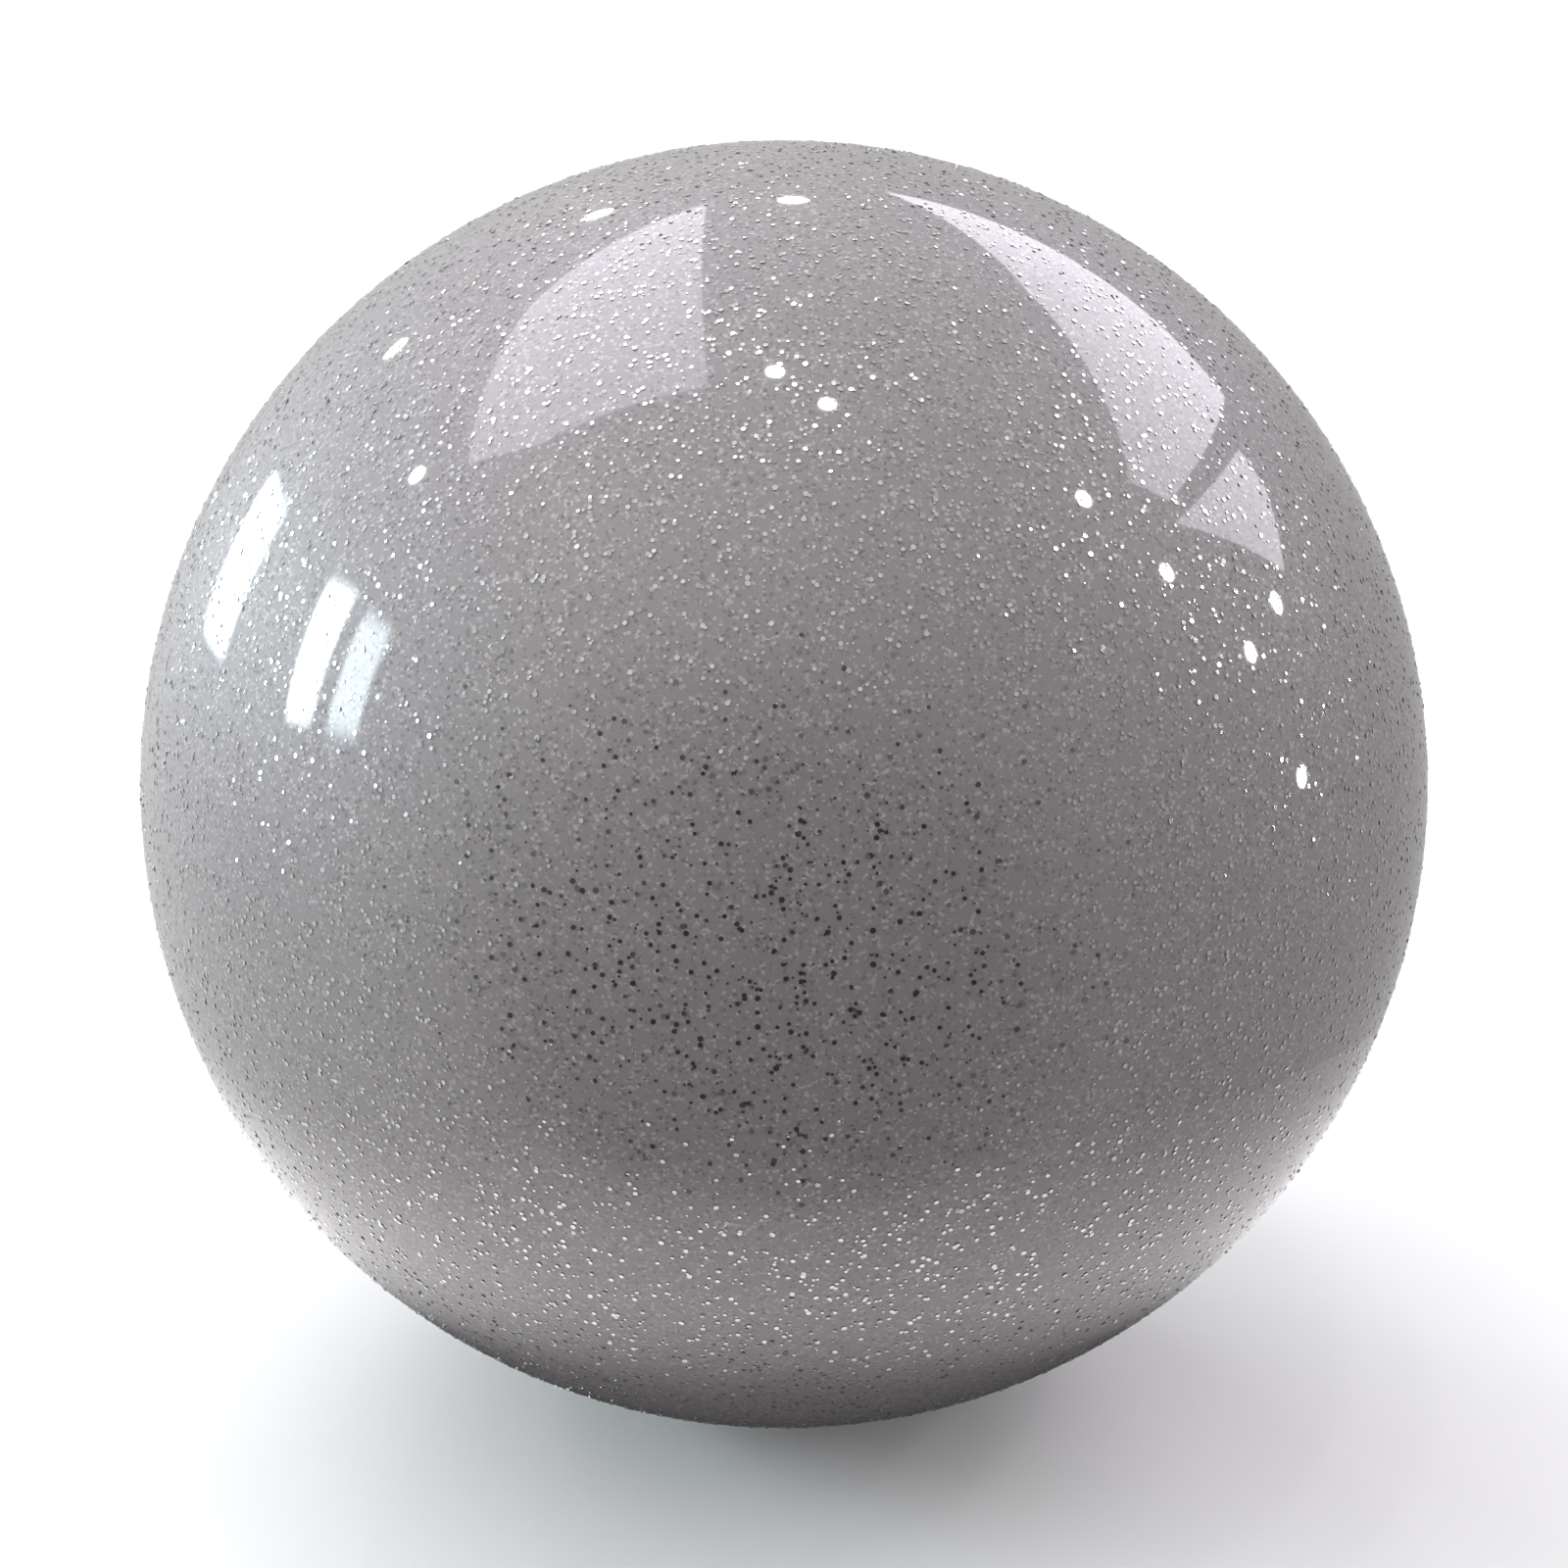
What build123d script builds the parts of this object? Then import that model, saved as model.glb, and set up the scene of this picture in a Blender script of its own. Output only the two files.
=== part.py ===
from build123d import *

import os
from math import radians, sqrt, tan

# A seamless soft PVC play ball with glitter in its skin and a push-in mouth valve.
# Millimetres. The origin is the centre of the ball, +Z is up, and the valve points along +Y.
# It is shown blown up and closed: stem pushed in, stopper in, check flap on its seat.

# Ball wall
BALL_R = 115.0
CLEAR_THICK = 0.25
SILVER_THICK = 0.30
HOLE_R = 9.0

# Valve flange, a thin disc that follows the outside of the ball
FLANGE_R = 16.0
FLANGE_BORE_R = 8.6
FLANGE_THICK = 0.7
FLANGE_EDGE_THICK = 0.2
FLANGE_BEVEL = 1.2

# Stem
STEM_R = 4.8
BORE_R = 3.0
MOUTH_R = 3.6
MOUTH_DEPTH = 4.6
MOUTH_Y = BALL_R + 1.4
SEAT_Y = BALL_R - 14.0
LIP_ROUND = 0.25
COLLAR_R = 5.7
COLLAR_THICK = 0.8
SKIRT_DROP = 7.6

# Skirt
SKIRT_THICK = 0.5
SKIRT_GAP = 0.1

# Stopper
CAP_R = 6.2
CAP_THICK = 1.5
CAP_ROUND = 0.5
CAP_DIMPLE_R = 3.4
CAP_DIMPLE_DEPTH = 0.5
PLUG_R = 3.5
PLUG_LENGTH = 4.2
PLUG_TAPER_DEG = 8.0
PLUG_ROUND = 0.9
LIP_WIDTH = 5.0
LIP_REACH = 10.0
LIP_THICK = 0.8

# Strap and hinge: the ribbon lies under the tab, and they meet in a fold at the hinge line
STRAP_RING_R = 5.9
STRAP_WIDTH = 4.0
STRAP_THICK = 0.7
FOLD_GAP = 0.3
HINGE_REACH = 11.5
HINGE_CLEARANCE = 0.2

# Check flap
FLAP_R = 4.4
FLAP_THICK = 0.5
FLAP_TAB_WIDTH = 3.0
FLAP_HINGE_REACH = 5.0
LUG_REACH = 5.6
LUG_HEIGHT = 1.6


def height_on_ball(sphere_r, axis_r):
    """Y of a sphere's surface at a given distance from the valve axis."""
    return sqrt(sphere_r**2 - axis_r**2)


def wall_layer(outer_r, inner_r):
    """One layer of the wall: a full hollow sphere but for the valve's hole."""
    outer_edge = (HOLE_R, height_on_ball(outer_r, HOLE_R))
    inner_edge = (HOLE_R, height_on_ball(inner_r, HOLE_R))
    with BuildPart() as layer:
        with BuildSketch(Plane.XY):
            with BuildLine():
                ThreePointArc(outer_edge, (outer_r, 0), (0, -outer_r))
                Line((0, -outer_r), (0, -inner_r))
                ThreePointArc((0, -inner_r), (inner_r, 0), inner_edge)
                Line(inner_edge, outer_edge)
            make_face()
        revolve(axis=Axis.Y)
    return layer


# Ball wall, in two layers that are moulded onto each other
silver_r = BALL_R - CLEAR_THICK
clear_glitter_skin = wall_layer(BALL_R, silver_r)
clear_glitter_skin.part.label = "clear_glitter_skin"

silver_backing_skin = wall_layer(silver_r, silver_r - SILVER_THICK)
silver_backing_skin.part.label = "silver_backing_skin"

# Flange: welded to the outside of the ball, thinning to its edge
flange_top_r = BALL_R + FLANGE_THICK
bevel_r = FLANGE_R - FLANGE_BEVEL
middle_r = (FLANGE_BORE_R + FLANGE_R) / 2
edge_low = (FLANGE_R, height_on_ball(BALL_R, FLANGE_R))
edge_high = (FLANGE_R, height_on_ball(BALL_R + FLANGE_EDGE_THICK, FLANGE_R))
bevel_top = (bevel_r, height_on_ball(flange_top_r, bevel_r))
bore_high = (FLANGE_BORE_R, height_on_ball(flange_top_r, FLANGE_BORE_R))
bore_low = (FLANGE_BORE_R, height_on_ball(BALL_R, FLANGE_BORE_R))

with BuildPart() as valve_flange:
    with BuildSketch(Plane.XY):
        with BuildLine():
            ThreePointArc(bore_low, (middle_r, height_on_ball(BALL_R, middle_r)), edge_low)
            Polyline(edge_low, edge_high, bevel_top)
            ThreePointArc(bevel_top, (middle_r, height_on_ball(flange_top_r, middle_r)), bore_high)
            Line(bore_high, bore_low)
        make_face()
    revolve(axis=Axis.Y)
valve_flange.part.label = "valve_flange"

# Skirt: a funnel from the flange's bore down to the stem's collar
collar_top_y = bore_low[1] - SKIRT_DROP
skirt_foot_y = collar_top_y + SKIRT_GAP
skirt_inner_r = STEM_R + SKIRT_GAP
skirt_top_y = bore_high[1]

with BuildPart() as valve_skirt:
    with BuildSketch(Plane.XY):
        with BuildLine():
            Polyline(
                (skirt_inner_r, skirt_foot_y),
                (skirt_inner_r + SKIRT_THICK, skirt_foot_y),
                (FLANGE_BORE_R - SKIRT_THICK / 2, bore_low[1]),
                (FLANGE_BORE_R, bore_low[1]),
                (FLANGE_BORE_R, skirt_top_y),
                (FLANGE_BORE_R - SKIRT_THICK, skirt_top_y),
                (skirt_inner_r, skirt_foot_y + SKIRT_THICK),
                close=True,
            )
        make_face()
    revolve(axis=Axis.Y)
valve_skirt.part.label = "valve_skirt"

# Stem: a tube with a tapered mouth, a collar that the skirt holds, and a lug for the flap
with BuildPart() as valve_stem:
    with BuildSketch(Plane.XY):
        with BuildLine():
            Polyline(
                (BORE_R, SEAT_Y),
                (STEM_R, SEAT_Y),
                (STEM_R, collar_top_y - COLLAR_THICK),
                (COLLAR_R, collar_top_y - COLLAR_THICK),
                (COLLAR_R, collar_top_y),
                (STEM_R, collar_top_y),
                (STEM_R, MOUTH_Y),
                (MOUTH_R, MOUTH_Y),
                (BORE_R, MOUTH_Y - MOUTH_DEPTH),
                close=True,
            )
        make_face()
    revolve(axis=Axis.Y)
    rings = valve_stem.edges().filter_by(GeomType.CIRCLE)
    fillet(rings.filter_by(lambda edge: abs(edge.radius - COLLAR_R) < 0.01), LIP_ROUND)
    with BuildSketch(Plane.XZ.offset(-SEAT_Y)):
        with Locations((0, (STEM_R + LUG_REACH) / 2 - LIP_ROUND)):
            Rectangle(FLAP_TAB_WIDTH, LUG_REACH - STEM_R + 2 * LIP_ROUND)
    extrude(amount=-LUG_HEIGHT)
valve_stem.part.label = "valve_stem"

# Strap: a ring around the stem's mouth, with a ribbon that reaches down to the hinge
ribbon_end = HINGE_REACH - HINGE_CLEARANCE
strap_plane = Plane.XZ.offset(-MOUTH_Y)

with BuildPart() as stopper_strap:
    with BuildSketch(strap_plane):
        Circle(STRAP_RING_R)
        with Locations((0, -ribbon_end / 2)):
            Rectangle(STRAP_WIDTH, ribbon_end)
        Circle(STEM_R, mode=Mode.SUBTRACT)
    extrude(amount=STRAP_THICK)
stopper_strap.part.label = "stopper_strap"

# Stopper: cap, tapered plug, the tab that reaches the hinge, and a lip to pull it by
plug_tip_r = PLUG_R - PLUG_LENGTH * tan(radians(PLUG_TAPER_DEG))
cap_top_y = MOUTH_Y + CAP_THICK

with BuildPart() as stopper:
    with BuildSketch(Plane.XY):
        with BuildLine():
            Polyline(
                (0, MOUTH_Y - PLUG_LENGTH),
                (plug_tip_r, MOUTH_Y - PLUG_LENGTH),
                (PLUG_R, MOUTH_Y),
                (CAP_R, MOUTH_Y),
                (CAP_R, cap_top_y),
                (CAP_DIMPLE_R, cap_top_y),
                (CAP_DIMPLE_R - CAP_DIMPLE_DEPTH, cap_top_y - CAP_DIMPLE_DEPTH),
                (0, cap_top_y - CAP_DIMPLE_DEPTH),
                close=True,
            )
        make_face()
    revolve(axis=Axis.Y)
    rings = stopper.edges().filter_by(GeomType.CIRCLE)
    fillet(rings.group_by(Axis.Y)[-1].sort_by(SortBy.RADIUS)[-1:], CAP_ROUND)
    rings = stopper.edges().filter_by(GeomType.CIRCLE)
    fillet(rings.group_by(Axis.Y)[0], PLUG_ROUND)
    with BuildSketch(Plane.XZ.offset(-(MOUTH_Y + FOLD_GAP))):
        with Locations((0, -(ribbon_end + CAP_DIMPLE_R) / 2)):
            Rectangle(STRAP_WIDTH, ribbon_end - CAP_DIMPLE_R)
    extrude(amount=-STRAP_THICK)
    with BuildSketch(Plane.XZ.offset(-(MOUTH_Y + FOLD_GAP))):
        with Locations((0, (LIP_REACH + CAP_DIMPLE_R - LIP_WIDTH / 2) / 2)):
            Rectangle(LIP_WIDTH, LIP_REACH - LIP_WIDTH / 2 - CAP_DIMPLE_R)
        with Locations((0, LIP_REACH - LIP_WIDTH / 2)):
            Circle(LIP_WIDTH / 2)
    extrude(amount=-LIP_THICK)
stopper.part.label = "stopper"

# Check flap: a thin disc against the stem's inner end, hung from a tab on its upper side
tab_end = FLAP_HINGE_REACH - HINGE_CLEARANCE

with BuildPart() as check_flap:
    with BuildSketch(Plane.XZ.offset(-SEAT_Y)):
        Circle(FLAP_R)
        with Locations((0, tab_end / 2)):
            Rectangle(FLAP_TAB_WIDTH, tab_end)
    extrude(amount=FLAP_THICK)
check_flap.part.label = "check_flap"

os.makedirs("parts", exist_ok=True)
pieces = [
    clear_glitter_skin,
    silver_backing_skin,
    valve_flange,
    valve_skirt,
    valve_stem,
    stopper_strap,
    stopper,
    check_flap,
]
for piece in pieces:
    export_step(piece.part, f"parts/{piece.part.label}.step")
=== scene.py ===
"""Looks of a seamless glitter play ball with a push-in mouth valve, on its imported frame."""

import math

import bmesh
import bpy
from bpy.props import (
    FloatProperty,
    FloatVectorProperty,
    IntProperty,
    PointerProperty,
)
from mathutils import Matrix, Vector


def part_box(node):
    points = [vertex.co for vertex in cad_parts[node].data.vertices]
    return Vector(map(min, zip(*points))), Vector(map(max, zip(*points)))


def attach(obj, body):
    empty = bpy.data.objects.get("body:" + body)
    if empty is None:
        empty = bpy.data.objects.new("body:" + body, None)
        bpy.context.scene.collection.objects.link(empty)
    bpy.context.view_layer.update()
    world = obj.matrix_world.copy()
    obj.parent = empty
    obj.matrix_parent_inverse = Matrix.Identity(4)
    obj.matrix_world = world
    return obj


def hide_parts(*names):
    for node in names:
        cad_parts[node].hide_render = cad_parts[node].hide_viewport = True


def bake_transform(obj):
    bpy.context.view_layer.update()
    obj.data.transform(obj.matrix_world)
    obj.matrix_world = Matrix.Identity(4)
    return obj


bl_info = {
    "name": "Glitter play ball",
    "version": (1, 0, 0),
    "blender": (4, 5, 0),
    "location": "3D View > Sidebar > Play Ball",
    "description": "Makes the moulded glitter ball, its push-in valve and the studio around them",
    "category": "Add Mesh",
}

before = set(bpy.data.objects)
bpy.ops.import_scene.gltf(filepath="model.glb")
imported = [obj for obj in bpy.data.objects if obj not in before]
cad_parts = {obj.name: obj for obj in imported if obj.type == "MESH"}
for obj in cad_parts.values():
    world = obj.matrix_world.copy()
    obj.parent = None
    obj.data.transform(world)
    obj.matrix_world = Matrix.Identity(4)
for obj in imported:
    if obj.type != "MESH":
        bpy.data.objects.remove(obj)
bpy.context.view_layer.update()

MM = 0.001

_, skin_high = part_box("clear_glitter_skin")
_, silver_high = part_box("silver_backing_skin")
_, flange_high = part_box("valve_flange")
skirt_low, skirt_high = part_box("valve_skirt")
stem_low, stem_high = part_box("valve_stem")
strap_low, strap_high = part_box("stopper_strap")
stopper_low, stopper_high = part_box("stopper")

BALL_R = skin_high.x
SILVER_R = silver_high.x
SILVER_THICK = 0.3 * MM
MOUTH_Y = stem_high.y
SEAT_Y = stem_low.y
CREASE = math.radians(50)
LAMP_DISTANCE = 3.0
CEILING = 2.0
BACKDROP = 0.93
BACKDROP_COLOUR = (1.0, 0.99, 0.985, 1.0)


# Settings

class BallSettings(bpy.types.PropertyGroup):
    """Sizes and colours of the ball's wall and of the flakes in it"""

    radius: FloatProperty(
        name="Ball radius", description="Outside of the clear layer", default=BALL_R,
        unit="LENGTH", subtype="DISTANCE",
    )
    silver_radius: FloatProperty(
        name="Silver radius", description="Outside of the silver layer", default=SILVER_R,
        unit="LENGTH", subtype="DISTANCE",
    )
    hole_radius: FloatProperty(
        name="Hole radius", description="Hole in the wall for the valve", default=9.0 * MM,
        unit="LENGTH", subtype="DISTANCE",
    )
    silver_colour: FloatVectorProperty(
        name="Silver", description="Colour of the silver layer", default=(0.256, 0.238, 0.244),
        subtype="COLOR", size=3, min=0.0, max=1.0,
    )
    flake_colour: FloatVectorProperty(
        name="Flake", description="Colour of the silvered film", default=(0.67, 0.67, 0.68),
        subtype="COLOR", size=3, min=0.0, max=1.0,
    )
    flake_width: FloatProperty(
        name="Flake width", description="Across the corners of the largest flakes",
        default=0.95 * MM, unit="LENGTH", subtype="DISTANCE",
    )
    flake_thickness: FloatProperty(
        name="Flake thickness", description="Thickness of the silvered film",
        default=0.03 * MM, unit="LENGTH", subtype="DISTANCE",
    )
    flake_tilt: FloatProperty(
        name="Flake tilt", description="Most that a flake leans in the clear layer",
        default=math.radians(15), subtype="ANGLE",
    )
    flakes_per_batch: IntProperty(
        name="Flakes per batch", description="Flakes of one size on the whole ball",
        default=6800, min=100, max=9900,
    )
    mould_line_height: FloatProperty(
        name="Mould line height",
        description="How far the line of the mould's two halves stands out",
        default=0.06 * MM, unit="LENGTH", subtype="DISTANCE",
    )


class ValveSettings(bpy.types.PropertyGroup):
    """Sizes and colours of the push-in valve"""

    pvc_colour: FloatVectorProperty(
        name="Valve PVC", description="Colour of the soft valve moulding",
        default=(0.44, 0.45, 0.47), subtype="COLOR", size=3, min=0.0, max=1.0,
    )
    film_colour: FloatVectorProperty(
        name="Flap film", description="Colour of the check flap",
        default=(0.70, 0.71, 0.74), subtype="COLOR", size=3, min=0.0, max=1.0,
    )
    stem_radius: FloatProperty(
        name="Stem radius", description="Outside of the tube", default=4.8 * MM,
        unit="LENGTH", subtype="DISTANCE",
    )
    bore_radius: FloatProperty(
        name="Bore radius", description="Air passage of the tube", default=3.0 * MM,
        unit="LENGTH", subtype="DISTANCE",
    )
    mouth_radius: FloatProperty(
        name="Mouth radius", description="Bore at the tube's mouth", default=3.6 * MM,
        unit="LENGTH", subtype="DISTANCE",
    )
    weld_ribs: IntProperty(
        name="Weld ribs", description="Ribs that the welding tool presses into the flange",
        default=72, min=12, max=200,
    )


class StudioSettings(bpy.types.PropertyGroup):
    """Floor, lights and camera"""

    floor_colour: FloatVectorProperty(
        name="Floor", description="Colour of the pale floor", default=(0.86, 0.86, 0.865),
        subtype="COLOR", size=3, min=0.0, max=1.0,
    )
    camera_elevation: FloatProperty(
        name="Camera elevation", description="Height of the camera above the horizon",
        default=math.radians(20), subtype="ANGLE",
    )
    lens: FloatProperty(
        name="Lens", description="Focal length in millimetres", default=85.0, min=20.0, max=300.0,
    )
    ball_share: FloatProperty(
        name="Ball share", description="Share of the picture's width that the ball fills",
        default=0.823, min=0.1, max=1.0,
    )


# Mesh helpers

def lathe(name, profile, segments, closed=True):
    """Object made by turning (radius, height) points round the valve axis.

    A point with no radius becomes one shared pole. closed joins the last point to the first.
    """
    mesh = bmesh.new()
    rings = []
    for radius, height in profile:
        if radius < 1e-9:
            rings.append([mesh.verts.new((0.0, height, 0.0))])
            continue
        ring = []
        for step in range(segments):
            angle = 2 * math.pi * step / segments
            place = (radius * math.sin(angle), height, radius * math.cos(angle))
            ring.append(mesh.verts.new(place))
        rings.append(ring)
    pairs = list(zip(rings, rings[1:]))
    if closed:
        pairs.append((rings[-1], rings[0]))
    for near, far in pairs:
        for step in range(segments):
            after = (step + 1) % segments
            corners = [
                near[step % len(near)], near[after % len(near)],
                far[after % len(far)], far[step % len(far)],
            ]
            distinct = list(dict.fromkeys(corners))
            if len(distinct) > 2:
                mesh.faces.new(distinct)
    bmesh.ops.recalc_face_normals(mesh, faces=mesh.faces)
    return mesh_object(name, mesh)


def mesh_object(name, mesh):
    """Object from a bmesh, shaded smooth all over."""
    data = bpy.data.meshes.new(name)
    mesh.to_mesh(data)
    mesh.free()
    piece = bpy.data.objects.new(name, data)
    bpy.context.scene.collection.objects.link(piece)
    data.shade_smooth()
    return piece


def rounded(points, radius, steps=4):
    """Closed outline with each corner turned into an arc of up to that radius."""
    outline = []
    count = len(points)
    for index in range(count):
        here = Vector(points[index])
        before = Vector(points[index - 1]) - here
        after = Vector(points[(index + 1) % count]) - here
        turn = before.angle(after)
        reach = min(radius / math.tan(turn / 2), 0.45 * before.length, 0.45 * after.length)
        start = here + before.normalized() * reach
        end = here + after.normalized() * reach
        for step in range(steps + 1):
            share = step / steps
            outline.append(
                start * (1 - share) ** 2 + here * 2 * share * (1 - share) + end * share ** 2
            )
    return [tuple(point) for point in outline]


def on_sphere(sphere_r, axis_r):
    """Height of a sphere's surface along the valve axis, at a distance from that axis."""
    return math.sqrt(sphere_r ** 2 - axis_r ** 2)


def sphere_arc(sphere_r, start_r, end_angle, steps):
    """Arc of a circle, from a hole of a given radius round to an angle from the valve axis."""
    start_angle = math.asin(start_r / sphere_r)
    points = []
    for step in range(steps + 1):
        angle = start_angle + (end_angle - start_angle) * step / steps
        points.append((sphere_r * math.sin(angle), sphere_r * math.cos(angle)))
    return points


def finish_piece(piece, material, body, slot, *nodes):
    """Material, body and the CAD nodes that the piece stands for. The finish slot is not used."""
    piece.data.materials.clear()
    piece.data.materials.append(material)
    if body:
        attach(piece, body)
    if nodes:
        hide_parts(*nodes)
    return piece


def sharpen(piece, angle):
    """Keeps a smooth piece's edges crisp where they are sharper than an angle."""
    piece.data.set_sharp_from_angle(angle=angle)


# Shader helpers

def new_material(name):
    """Material with a Principled shader. Returns it, its tree and the shader."""
    material = bpy.data.materials.new(name)
    material.use_nodes = True
    tree = material.node_tree
    tree.nodes.clear()
    shader = tree.nodes.new("ShaderNodeBsdfPrincipled")
    output = tree.nodes.new("ShaderNodeOutputMaterial")
    tree.links.new(shader.outputs["BSDF"], output.inputs["Surface"])
    return material, tree, shader


def node(tree, kind, inputs=None, **attributes):
    """New node with its attributes set and its inputs set or linked."""
    made = tree.nodes.new(kind)
    for key, value in attributes.items():
        setattr(made, key, value)
    for key, value in (inputs or {}).items():
        if isinstance(value, bpy.types.NodeSocket):
            tree.links.new(value, made.inputs[key])
        else:
            made.inputs[key].default_value = value
    return made


def maths(tree, operation, one, two):
    """Result of a maths node on two values."""
    return node(tree, "ShaderNodeMath", {0: one, 1: two}, operation=operation).outputs[0]


def scaled(tree, vector, factor):
    """Colour or vector times a value."""
    made = node(tree, "ShaderNodeVectorMath", {0: vector}, operation="SCALE")
    tree.links.new(factor, made.inputs["Scale"])
    return made.outputs[0]


def remapped(tree, value, low, high, start, end, **attributes):
    """Value moved from the range low..high to the range start..end."""
    return node(
        tree, "ShaderNodeMapRange",
        {"Value": value, "From Min": low, "From Max": high, "To Min": start, "To Max": end},
        **attributes,
    ).outputs["Result"]


def shader_group(name, inputs, outputs):
    """Empty shader group with float or colour sockets. Returns the tree and its end nodes."""
    tree = bpy.data.node_groups.new(name, "ShaderNodeTree")
    for label, kind, default in inputs:
        socket = tree.interface.new_socket(label, in_out="INPUT", socket_type=kind)
        socket.default_value = default
    for label, kind in outputs:
        tree.interface.new_socket(label, in_out="OUTPUT", socket_type=kind)
    return tree, tree.nodes.new("NodeGroupInput"), tree.nodes.new("NodeGroupOutput")


def fine_glitter_group():
    """Glitter dust too small to model: light and dark grains, and where they shine."""
    found = bpy.data.node_groups.get("fine_glitter")
    if found:
        return found
    tree, given, out = shader_group(
        "fine_glitter",
        [
            ("Base", "NodeSocketColor", (0.2, 0.2, 0.2, 1)),
            ("Grain Size", "NodeSocketFloat", 0.0005),
            ("Contrast", "NodeSocketFloat", 0.3),
            ("Mottle", "NodeSocketFloat", 0.1),
        ],
        [("Color", "NodeSocketColor"), ("Roughness", "NodeSocketFloat")],
    )
    place = node(tree, "ShaderNodeTexCoord").outputs["Object"]
    scale = maths(tree, "DIVIDE", 1.0, given.outputs["Grain Size"])
    grains = node(
        tree, "ShaderNodeTexVoronoi", {"Vector": place, "Scale": scale, "Randomness": 1.0},
        feature="F1",
    )
    shade = node(tree, "ShaderNodeSeparateColor", {"Color": grains.outputs["Color"]}).outputs[0]

    # The palest fifth of the grains shine, and the darkest seventh are dull
    light = remapped(tree, shade, 0.80, 1.0, 0.0, 1.0)
    dark = remapped(tree, shade, 0.0, 0.14, -0.6, 0.0)
    grain = maths(tree, "MULTIPLY", maths(tree, "ADD", light, dark), given.outputs["Contrast"])
    cloud = node(
        tree, "ShaderNodeTexNoise",
        {"Vector": place, "Scale": 38.0, "Detail": 4.0, "Roughness": 0.55},
    ).outputs[0]
    cloud = maths(tree, "MULTIPLY", maths(tree, "SUBTRACT", cloud, 0.5), given.outputs["Mottle"])
    gain = maths(tree, "ADD", maths(tree, "ADD", grain, cloud), 1.0)
    tree.links.new(scaled(tree, given.outputs["Base"], gain), out.inputs["Color"])
    rough = remapped(tree, shade, 0.0, 1.0, 0.62, 0.50)
    tree.links.new(rough, out.inputs["Roughness"])
    return tree


def soft_pvc_group():
    """Faint clouding, handling haze and moulded grain of soft clear-grey PVC."""
    found = bpy.data.node_groups.get("soft_pvc")
    if found:
        return found
    tree, given, out = shader_group(
        "soft_pvc",
        [
            ("Base", "NodeSocketColor", (0.6, 0.6, 0.6, 1)),
            ("Haze", "NodeSocketFloat", 0.5),
            ("Grain", "NodeSocketFloat", 2600.0),
        ],
        [
            ("Color", "NodeSocketColor"),
            ("Roughness", "NodeSocketFloat"),
            ("Height", "NodeSocketFloat"),
        ],
    )
    place = node(tree, "ShaderNodeTexCoord").outputs["Object"]
    cloud = node(
        tree, "ShaderNodeTexNoise",
        {"Vector": place, "Scale": 160.0, "Detail": 3.0, "Roughness": 0.5},
    ).outputs[0]
    fine = node(
        tree, "ShaderNodeTexNoise",
        {"Vector": place, "Scale": given.outputs["Grain"], "Detail": 2.0, "Roughness": 0.6},
    ).outputs[0]
    gain = remapped(tree, cloud, 0.3, 0.7, 0.93, 1.05)
    rough = maths(tree, "ADD", maths(tree, "MULTIPLY", cloud, given.outputs["Haze"]), 0.12)
    tree.links.new(scaled(tree, given.outputs["Base"], gain), out.inputs["Color"])
    tree.links.new(rough, out.inputs["Roughness"])
    tree.links.new(fine, out.inputs["Height"])
    return tree


def place_group(tree, group, inputs):
    """Group node in a material, with its values set."""
    placed = tree.nodes.new("ShaderNodeGroup")
    placed.node_tree = group
    for key, value in inputs.items():
        placed.inputs[key].default_value = value
    return placed


def clear_layer(shader):
    """Mirror-smooth gloss of the ball's clear layer."""
    shader.inputs["Coat Weight"].default_value = 1.0
    shader.inputs["Coat Roughness"].default_value = 0.04
    shader.inputs["Coat IOR"].default_value = 1.53


def silver_material(settings):
    """Silver-grey PVC under a clear mirror-smooth layer, with glitter dust in it."""
    found = bpy.data.materials.get("silver_layer")
    if found:
        return found
    material, tree, shader = new_material("silver_layer")
    dust = place_group(tree, fine_glitter_group(), {
        "Base": (*settings.silver_colour, 1.0),
        "Grain Size": 0.5 * MM,
        "Contrast": 0.65,
        "Mottle": 0.12,
    })
    tree.links.new(dust.outputs["Color"], shader.inputs["Base Color"])
    tree.links.new(dust.outputs["Roughness"], shader.inputs["Roughness"])
    shader.inputs["Metallic"].default_value = 0.15
    clear_layer(shader)
    return material


def flake_material(settings):
    """Silvered film, with the clear layer's smooth gloss lying over it."""
    found = bpy.data.materials.get("glitter_film")
    if found:
        return found
    material, tree, shader = new_material("glitter_film")
    shader.inputs["Base Color"].default_value = (*settings.flake_colour, 1.0)
    shader.inputs["Metallic"].default_value = 1.0
    shader.inputs["Roughness"].default_value = 0.22
    clear_layer(shader)
    place = node(tree, "ShaderNodeTexCoord").outputs["Object"]
    outward = node(tree, "ShaderNodeVectorMath", {0: place}, operation="NORMALIZE").outputs[0]
    tree.links.new(outward, shader.inputs["Coat Normal"])
    return material


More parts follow.
